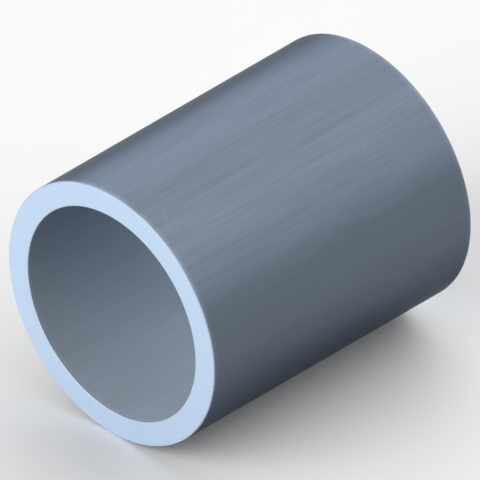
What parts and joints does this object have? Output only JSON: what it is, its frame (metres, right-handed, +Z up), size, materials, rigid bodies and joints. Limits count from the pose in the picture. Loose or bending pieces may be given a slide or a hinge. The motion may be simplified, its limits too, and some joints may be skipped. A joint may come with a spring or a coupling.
{
  "type": "stainless steel tube",
  "caption": "Short cut length of thick-walled round steel tube, lying on its side, with an open bore and square, deburred ends.",
  "frame": {"origin": "on the floor, under the middle of the line the tube rests on: half way along its length and one outside radius below its axis", "axes": "+Y along the tube's axis, +Z up, +X across the tube; the ends are alike"},
  "size_m": [0.08, 0.1, 0.08],
  "materials": {
    "stainless_steel": "satin drawn barrel and bore, bright faced ends"
  },
  "bodies": {
    "root": {"tube": "stainless_steel"}
  },
  "joints": []
}
